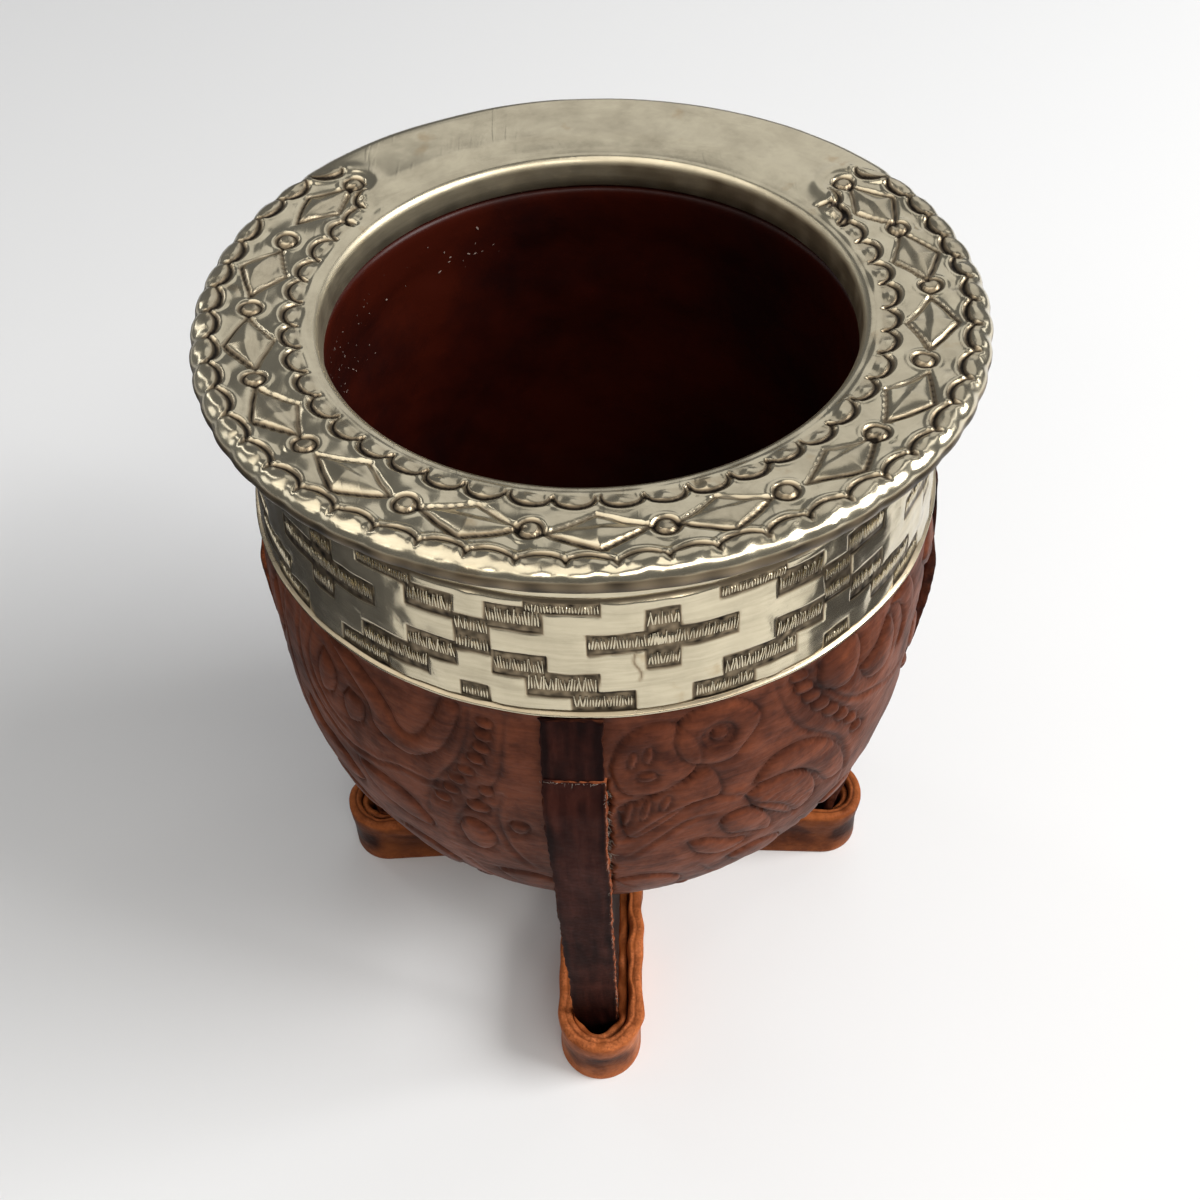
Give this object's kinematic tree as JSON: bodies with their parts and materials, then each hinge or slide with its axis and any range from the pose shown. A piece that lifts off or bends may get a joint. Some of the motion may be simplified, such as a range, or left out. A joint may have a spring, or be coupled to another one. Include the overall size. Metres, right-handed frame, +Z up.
{
  "type": "mate gourd cup",
  "caption": "Empty mate gourd cup with a chased nickel silver ferrule, a tooled leather cover and a lobed leather foot.",
  "frame": {"origin": "floor level, on the cup's axis", "axes": "+Z up along the cup's axis, the front lobe of the foot towards -Y, +X to the right seen from the front"},
  "size_m": [0.0925, 0.096, 0.1142],
  "materials": {
    "nickel_silver": "polished and chased, dark in the recesses",
    "gourd": "satin",
    "tooled_leather": "tooled, satin",
    "strap_leather": "waxed",
    "foot_leather": "raw edges"
  },
  "bodies": {
    "root": {"ferrule": "nickel_silver", "gourd_shell": "gourd", "leather_cover": "tooled_leather", "foot_base": "foot_leather", "strap_front": "strap_leather", "strap_right": "strap_leather", "strap_back": "strap_leather", "strap_left": "strap_leather"}
  },
  "joints": []
}
